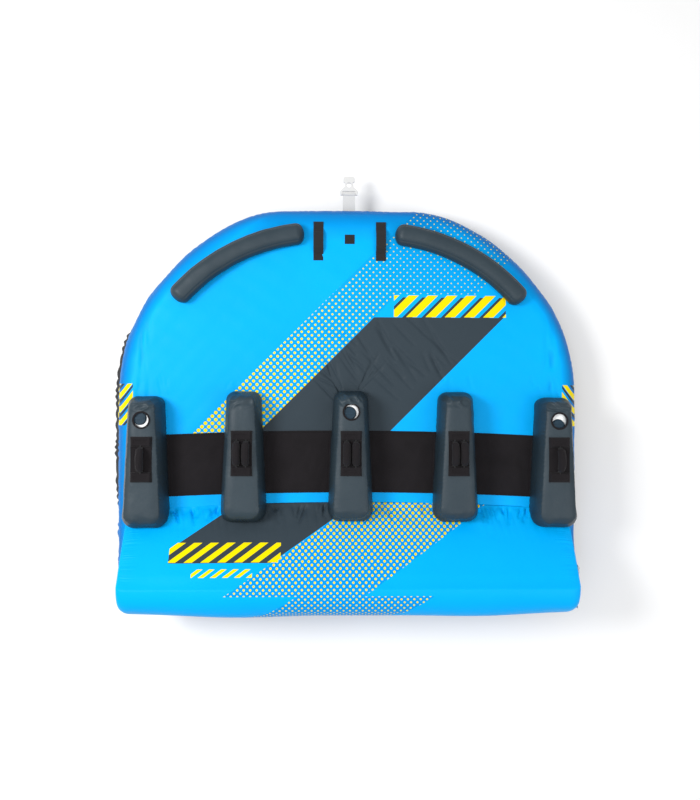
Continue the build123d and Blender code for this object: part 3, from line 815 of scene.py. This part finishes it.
def arm_shell(name, index, material, inset=0.0, drop=0.0, fine=1):
    """One arm bolster: sloping gathered sides, a seamed and slightly crowned top, eased ends."""
    shift = ARM_SETBACK[index]
    front, rear = -0.014 + shift, -0.661 + shift
    top = ARM_TOP - drop
    rings = []
    levels = np.linspace(0, 1, 22 // fine)
    for f in levels:
        lean = 0.026 * f - 0.010 * math.sin(math.pi * f) + inset
        widths = (0.086 - lean, 0.112 - lean)
        ends = (front - lean * 0.8, rear + lean * 0.9)
        quad = rounded_quad(*widths, *ends, 0.046 - lean * 0.5, 0.058 - lean * 0.3)
        rings.append(np.column_stack([quad, np.full(len(quad), f)]))
    edge = rings[-1][:, :2]
    spine = np.column_stack([np.zeros(len(edge)), np.clip(edge[:, 1], rear + 0.10, front - 0.075)])
    crown = np.linspace(0, 1, 16 // fine + 2)[1:]
    run = np.concatenate([[0], np.cumsum(np.linalg.norm(np.diff(edge, axis=0), axis=1))])
    gather = pucker(run, 0.021, 50 + index)
    points = []
    for ring in rings:
        f = ring[0, 2]
        xy = ring[:, :2].copy()
        base = np.maximum(rim_z(xy[:, 0] + ARM_X[index]), slope_z(xy[:, 1])) + 0.0015 + inset
        z = base + (top - 0.012 - base) * f
        if not inset:
            tangent = np.roll(xy, -1, 0) - np.roll(xy, 1, 0)
            outward = np.stack([-tangent[:, 1], tangent[:, 0]], -1)
            outward /= np.linalg.norm(outward, axis=1, keepdims=True)
            outward *= np.sign(np.sum(outward * (xy - np.array([0, (front + rear) / 2])), axis=1))[:, None]
            here = np.column_stack([xy, z])
            push = 0.0022 * (gather - 0.7) * math.exp(-(((f - 0.97) / 0.13) ** 2))
            push += 0.0020 * (pucker(run, 0.033, 70 + index) - 0.7) * math.exp(-((f / 0.16) ** 2))
            push += 0.0007 * waves(here + index, 0.090, 80 + index)
            xy += outward * push[:, None]
        points.append(np.column_stack([xy, z]))
    rim = points[-1]
    for c in crown:
        xy = rim[:, :2] + (spine - rim[:, :2]) * c
        z = top - 0.012 * (1 - c) ** 4
        z = np.full(len(xy), z)
        if not inset:
            z -= 0.0013 * gather * (1 - c) ** 6
            z += 0.0004 * waves(xy + index, 0.090, 90 + index) * c * (1 - c) * 4
        points.append(np.column_stack([xy, z]))
    points = np.array(points)
    y = points[..., 1]
    high = smoothstep((points[..., 2] - DECK_TOP) / 0.16)
    points[..., 2] -= 0.030 * smoothstep((y - (front - 0.050)) / 0.055) * high
    points[..., 2] -= 0.016 * smoothstep(((rear + 0.06) - y) / 0.06) * high
    if not inset:
        nose = smoothstep((y - (front - 0.10)) / 0.06) * high
        crumple = 1 - 2 * np.abs(waves(points[..., :2] * [1.0, 1.7] + index * 3.1, 0.085, 95 + index))
        points[..., 2] += 0.0060 * np.clip(crumple, -1, 1) * nose
        tail = smoothstep(((rear + 0.09) - y) / 0.07) * high
        points[..., 2] += 0.0026 * waves(points + index * 2.3, 0.060, 97 + index) * tail
    points[..., 0] += ARM_X[index]
    rows, cols = points.shape[:2]
    verts = points.transpose(1, 0, 2).reshape(-1, 3)
    faces = grid_faces(cols, rows, True)
    faces.append([i * rows for i in range(cols)])
    return new_object(name, verts, faces, material)


def cut_round(obj, x, y, radius, low, high):
    """Takes an upright round hole out of obj."""
    angles = np.linspace(0, 2 * math.pi, 65)[:-1]
    ring = np.stack([x + radius * np.cos(angles), y + radius * np.sin(angles)], -1)
    verts = np.concatenate([np.column_stack([ring, np.full(64, z)]) for z in (low, high)])
    faces = [[i, (i + 1) % 64, 64 + (i + 1) % 64, 64 + i] for i in range(64)]
    faces += [list(range(64))[::-1], list(range(64, 128))]
    tool = new_object("tool", verts, faces, obj.data.materials[0], smooth=False)
    cut = obj.modifiers.new("hole", "BOOLEAN")
    cut.operation, cut.object, cut.solver = "DIFFERENCE", tool, "EXACT"
    apply_modifiers(obj)
    bpy.data.objects.remove(tool)


for index in range(5):
    cover = arm_shell(f"arm_cover_{index + 1}_skin", index, MATS["slate_painted_shade"])
    if index in VALVE_ARMS:
        cut_round(cover, *VALVE_ARMS[index], 0.037, 0.435, 0.48)
    clothe(cover, f"arm_cover_{index + 1}")
    chamber = arm_shell(f"arm_chamber_{index + 1}", index, MATS["vinyl"], 0.014, 0.017, 2)
    clothe(chamber, f"arm_bladder_{index + 1}")


# ---- foot bolsters -------------------------------------------------------------------
BOLSTER_ENDS = [(0.229, 0.776), (0.531, 0.697), (0.872, 0.440)]


def circle_through(a, b, c):
    """Centre and radius of the circle through three points."""
    (ax, ay), (bx, by), (cx, cy) = a, b, c
    d = 2 * (ax * (by - cy) + bx * (cy - ay) + cx * (ay - by))
    ux = ((ax**2 + ay**2) * (by - cy) + (bx**2 + by**2) * (cy - ay) + (cx**2 + cy**2) * (ay - by)) / d
    uy = ((ax**2 + ay**2) * (cx - bx) + (bx**2 + by**2) * (ax - cx) + (cx**2 + cy**2) * (bx - ax)) / d
    return np.array([ux, uy]), math.hypot(ax - ux, ay - uy)


def bolster_shell(name, side, material, inset=0.0, stations=300, around=112):
    """A foot bolster: a plump bar, flat below, bent with the tow end and puffed at both ends."""
    centre, radius = circle_through(*BOLSTER_ENDS)
    first = math.atan2(BOLSTER_ENDS[0][1] - centre[1], BOLSTER_ENDS[0][0] - centre[0])
    last = math.atan2(BOLSTER_ENDS[2][1] - centre[1], BOLSTER_ENDS[2][0] - centre[0])
    length = abs(first - last) * radius
    half_w, height = 0.053 - inset, 0.077 - 2 * inset
    t = np.linspace(0, 1, stations)
    run = (inset + 0.5 * (1 - np.cos(np.pi * t)) * (length - 2 * inset)) * 0.5
    run += 0.5 * (inset + t * (length - 2 * inset))
    ends = np.minimum(run - inset, length - inset - run)
    size = np.sqrt(np.clip(1 - (1 - np.clip(ends / 0.045, 0, 1)) ** 2.4, 0, 1))
    theta = np.linspace(0, 2 * math.pi, around, endpoint=False)
    cosine, sine = np.cos(theta), np.sin(theta)
    cross_x = np.sign(cosine) * np.abs(cosine) ** 0.80 * half_w
    cross_z = np.where(sine > 0, sine * 0.62, -(np.abs(sine) ** 0.35) * 0.38) * height + 0.38 * height
    angle = first + (last - first) * run / length
    out = np.stack([np.cos(angle), np.sin(angle)], -1)
    plane = centre + out * radius
    offset = cross_x[None] * size[:, None]
    lift = 0.38 * height + (cross_z - 0.38 * height)[None] * size[:, None]
    lift = lift - (0.38 * height * (1 - size))[:, None] * 0.55
    points = np.empty((stations, around, 3))
    points[..., :2] = plane[:, None] + out[:, None] * offset[..., None]
    points[..., 2] = DECK_TOP + 0.001 + inset + np.maximum(lift, 0)
    if not inset:
        gather = pucker(run, 0.021, 60 + side)
        push = 0.0006 * waves(points + side, 0.110, 64 + side)
        for seam in (math.radians(133), math.radians(38)):
            away = np.abs(theta - seam)
            push = push - 0.0016 * gather[:, None] * np.exp(-((away / 0.22) ** 2))[None]
            push = push - 0.0022 * np.exp(-((away / 0.055) ** 2))[None]
        push = push * (sine > -0.3)[None] * np.clip(size * 3, 0, 1)[:, None]
        direction = np.empty_like(points)
        direction[..., :2] = out[:, None] * cosine[None, :, None]
        direction[..., 2] = sine[None]
        points += direction * push[..., None]
        points[..., 2] = np.maximum(points[..., 2], DECK_TOP + 0.0005)
    points[..., 0] *= side
    faces = grid_faces(around, stations, True)
    return new_object(name, points.transpose(1, 0, 2), faces, material)


for side, hand in ((-1, "left"), (1, "right")):
    cover = bolster_shell(f"foot_bolster_{hand}_skin", side, MATS["slate_painted_shade"])
    clothe(cover, f"foot_bolster_cover_{hand}")
    core = bolster_shell(f"foot_bolster_{hand}_foam", side, MATS["foam"], 0.010, 40, 24)
    clothe(core, f"foot_bolster_core_{hand}")


# ---- flat sewn patches ---------------------------------------------------------------
def slab(name, outline, base, thick, material, crown=0.0, cells=48, edge=0.004, seed=0, bead=0.0):
    """A flat soft patch over a four-sided outline given by edge functions; rounded edges and a crown."""
    u = np.linspace(-1, 1, cells)
    u = np.sign(u) * (1 - (1 - np.abs(u)) ** 1.25)
    grid_u, grid_v = np.meshgrid(u, u, indexing="ij")
    plane = outline(grid_u, grid_v)
    size = np.ptp(plane.reshape(-1, 2), axis=0)
    from_edge = np.minimum((1 - np.abs(grid_u)) * size[0] / 2, (1 - np.abs(grid_v)) * size[1] / 2)
    shoulder = np.clip(from_edge / edge, 0, 1)
    rise = thick * np.sqrt(np.clip(1 - (1 - shoulder) ** 2, 0, 1))
    rise += crown * np.clip(from_edge / size.min() * 4, 0, 1)
    stitch = np.exp(-(((from_edge - 2.2 * edge) / (0.6 * edge)) ** 2))
    rise = rise - 0.22 * thick * stitch + 0.0006 * waves(plane, 0.06, seed)
    rise += bead * np.exp(-(((((1 - np.abs(grid_v)) * size[1] / 2) - 0.006) / 0.003) ** 2))
    top = np.concatenate([plane, (base + np.maximum(rise, 0.0002))[..., None]], -1)
    low = np.concatenate([plane, np.full(rise.shape, base)[..., None]], -1)
    verts = np.concatenate([top.reshape(-1, 3), low.reshape(-1, 3)])
    faces = grid_faces(cells, cells, False) + grid_faces(cells, cells, False, cells * cells)
    n = cells
    loop = [i * n for i in range(n)] + [(n - 1) * n + j for j in range(1, n)]
    loop += [i * n + n - 1 for i in range(n - 2, -1, -1)] + [j for j in range(n - 2, 0, -1)]
    shift = n * n
    faces += [[a, b, b + shift, a + shift] for a, b in zip(loop, loop[1:] + loop[:1])]
    return new_object(name, verts, faces, material)


def box_outline(x, y, half_x, half_y, waist=0.0):
    """A rectangle, drawn in a little at its waist."""

    def place(u, v):
        return np.stack([x + u * half_x * (1 - waist * (1 - v**2)), y + v * half_y], -1)

    return place


def join(name, parts):
    """Joins mesh objects into one."""
    bpy.ops.object.select_all(action="DESELECT")
    for part in parts:
        part.select_set(True)
    bpy.context.view_layer.objects.active = parts[0]
    bpy.ops.object.join()
    parts[0].name = name
    parts[0].data.name = name
    return parts[0]


def arm_side(index, sign, y):
    """x of an arm's foot on one side."""
    shift = ARM_SETBACK[index]
    t = np.clip((y - (-0.014 + shift)) / -0.647, 0, 1)
    return ARM_X[index] + sign * (0.086 + 0.026 * t - 0.005)


def pad_outline(left, right):
    """The seat pad between two neighbouring arms, bowed front and rear."""

    def place(u, v):
        middle = (PAD_FRONT + PAD_REAR) / 2
        y = middle + v * (PAD_FRONT - PAD_REAR) / 2
        x0, x1 = arm_side(left, 1, y), arm_side(right, -1, y)
        x = x0 + (u + 1) / 2 * (x1 - x0)
        return np.stack([x, y + PAD_BOW * (0.5 - (x / ARM_X[4]) ** 2)], -1)

    return place


pads = [
    slab(
        f"pad_{k}", pad_outline(k, k + 1), DECK_TOP + 0.0005, 0.0045, MATS["neoprene"], 0.004, 120, 0.006,
        200 + k, 0.0028,
    )
    for k in range(4)
]
clothe(join("seat_pads_skin", pads), "seat_pads")

guards, sleeves = [], []
for index in range(5):
    x, y = ARM_X[index], GUARD_Y[index]
    outline = box_outline(x, y, *GUARD_HALF, 0.03)
    guards.append(slab(f"g{index}", outline, ARM_TOP - 0.002, 0.0046, MATS["neoprene"], 0.0, 56, 0.003))
    for end in (-1, 1):
        at = y + end * (GUARD_HALF[1] - SLEEVE_HALF[1])
        outline = box_outline(x, at, *SLEEVE_HALF)
        level, seed = ARM_TOP + 0.001, 230 + index
        sleeves.append(slab(f"s{index}{end}", outline, level, 0.0165, MATS["neoprene"], 0.0, 36, 0.010, seed))
clothe(join("handle_guards_skin", guards), "handle_guards")
clothe(join("handle_sleeves_skin", sleeves), "handle_sleeves")


# ---- grips ---------------------------------------------------------------------------
def grip_tube(name, x, y, material, seed):
    """A foam grip in a knit sleeve: an arched tube, plump in the middle and pinched at its ends."""
    bend = 0.064
    drop = math.sqrt(bend**2 - 0.058**2)
    sweep = np.radians(np.linspace(-49, 49, 60))
    around = np.linspace(0, 2 * math.pi, 40, endpoint=False)
    t = np.abs(sweep) / sweep.max()
    radius = 0.0190 * np.sqrt(np.clip(1 - np.clip((t - 0.86) / 0.16, 0, 1) ** 2.2, 0, 1))
    radius = np.maximum(radius * (1 - 0.05 * t**2), 0.0128)
    radius[[0, -1]] = 0.0125
    ring_x = np.cos(around)[None] * radius[:, None]
    ring_r = bend + np.sin(around)[None] * radius[:, None] * 0.98
    unrolled = np.stack([sweep[:, None] + 0 * ring_x, np.cos(around)[None] + 0 * ring_x], -1)
    crease = 0.0007 * waves(unrolled, 0.5, seed)
    ring_r = ring_r + crease - 0.0010 * np.exp(-(((around - math.pi * 1.5) / 0.12) ** 2))[None]
    points = np.stack(
        [x + ring_x, y + np.sin(sweep)[:, None] * ring_r, GRIP_Z - drop + np.cos(sweep)[:, None] * ring_r], -1
    )
    verts = points.reshape(-1, 3)
    faces = grid_faces(60, 40, False)
    faces += [[i * 40 + 39, (i + 1) * 40 + 39, (i + 1) * 40, i * 40] for i in range(59)]
    inner = len(verts)
    for k, at in enumerate((0, 59)):
        ring = points[at]
        middle = ring.mean(0)
        verts = np.concatenate([verts, middle + (ring - middle) * 0.5])
        start = inner + k * 40
        faces += [[at * 40 + i, at * 40 + (i + 1) % 40, start + (i + 1) % 40, start + i] for i in range(40)]
        faces.append([start + i for i in range(40)])
    return new_object(name, verts, faces, material)


number = 0
for index in range(5):
    y = GUARD_Y[index]
    for offset in [0.0] if index in (0, 4) else [-0.0225, 0.0225]:
        number += 1
        grip = grip_tube(f"grip_{number}", ARM_X[index] + offset, y, MATS["neoprene"], 300 + number)
        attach(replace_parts(grip, f"handle_grip_{number}"), f"handle_{number}")

# ---- finishes of the CAD nodes that stay ---------------------------------------------
FINISH = {
    "handle_strap": "webbing",
    "grab_strap": "webbing",
    "front_patch": "webbing",
    "tow_base": "webbing",
    "valve_hole_bindings": "neoprene",
    "tow_strap": "tow_webbing",
    "tow_connector": "white_plastic",
    "valve_base": "cap_plastic",
    "valve_cap": "cap_plastic",
    "backrest_zipper": "zipper",
    "deck_zipper": "zipper",
    "backrest_zipper_slider": "metal",
    "backrest_zipper_pull": "metal",
    "deck_zipper_slider": "metal",
}
for node_name, node in NODES.items():
    kinds = [key for key in FINISH if node_name.startswith(key)]
    if not kinds or node.hide_render:
        continue
    finish = MATS[FINISH[max(kinds, key=len)]]
    for slot in node.material_slots:
        slot.material = finish

bpy.context.view_layer.update()
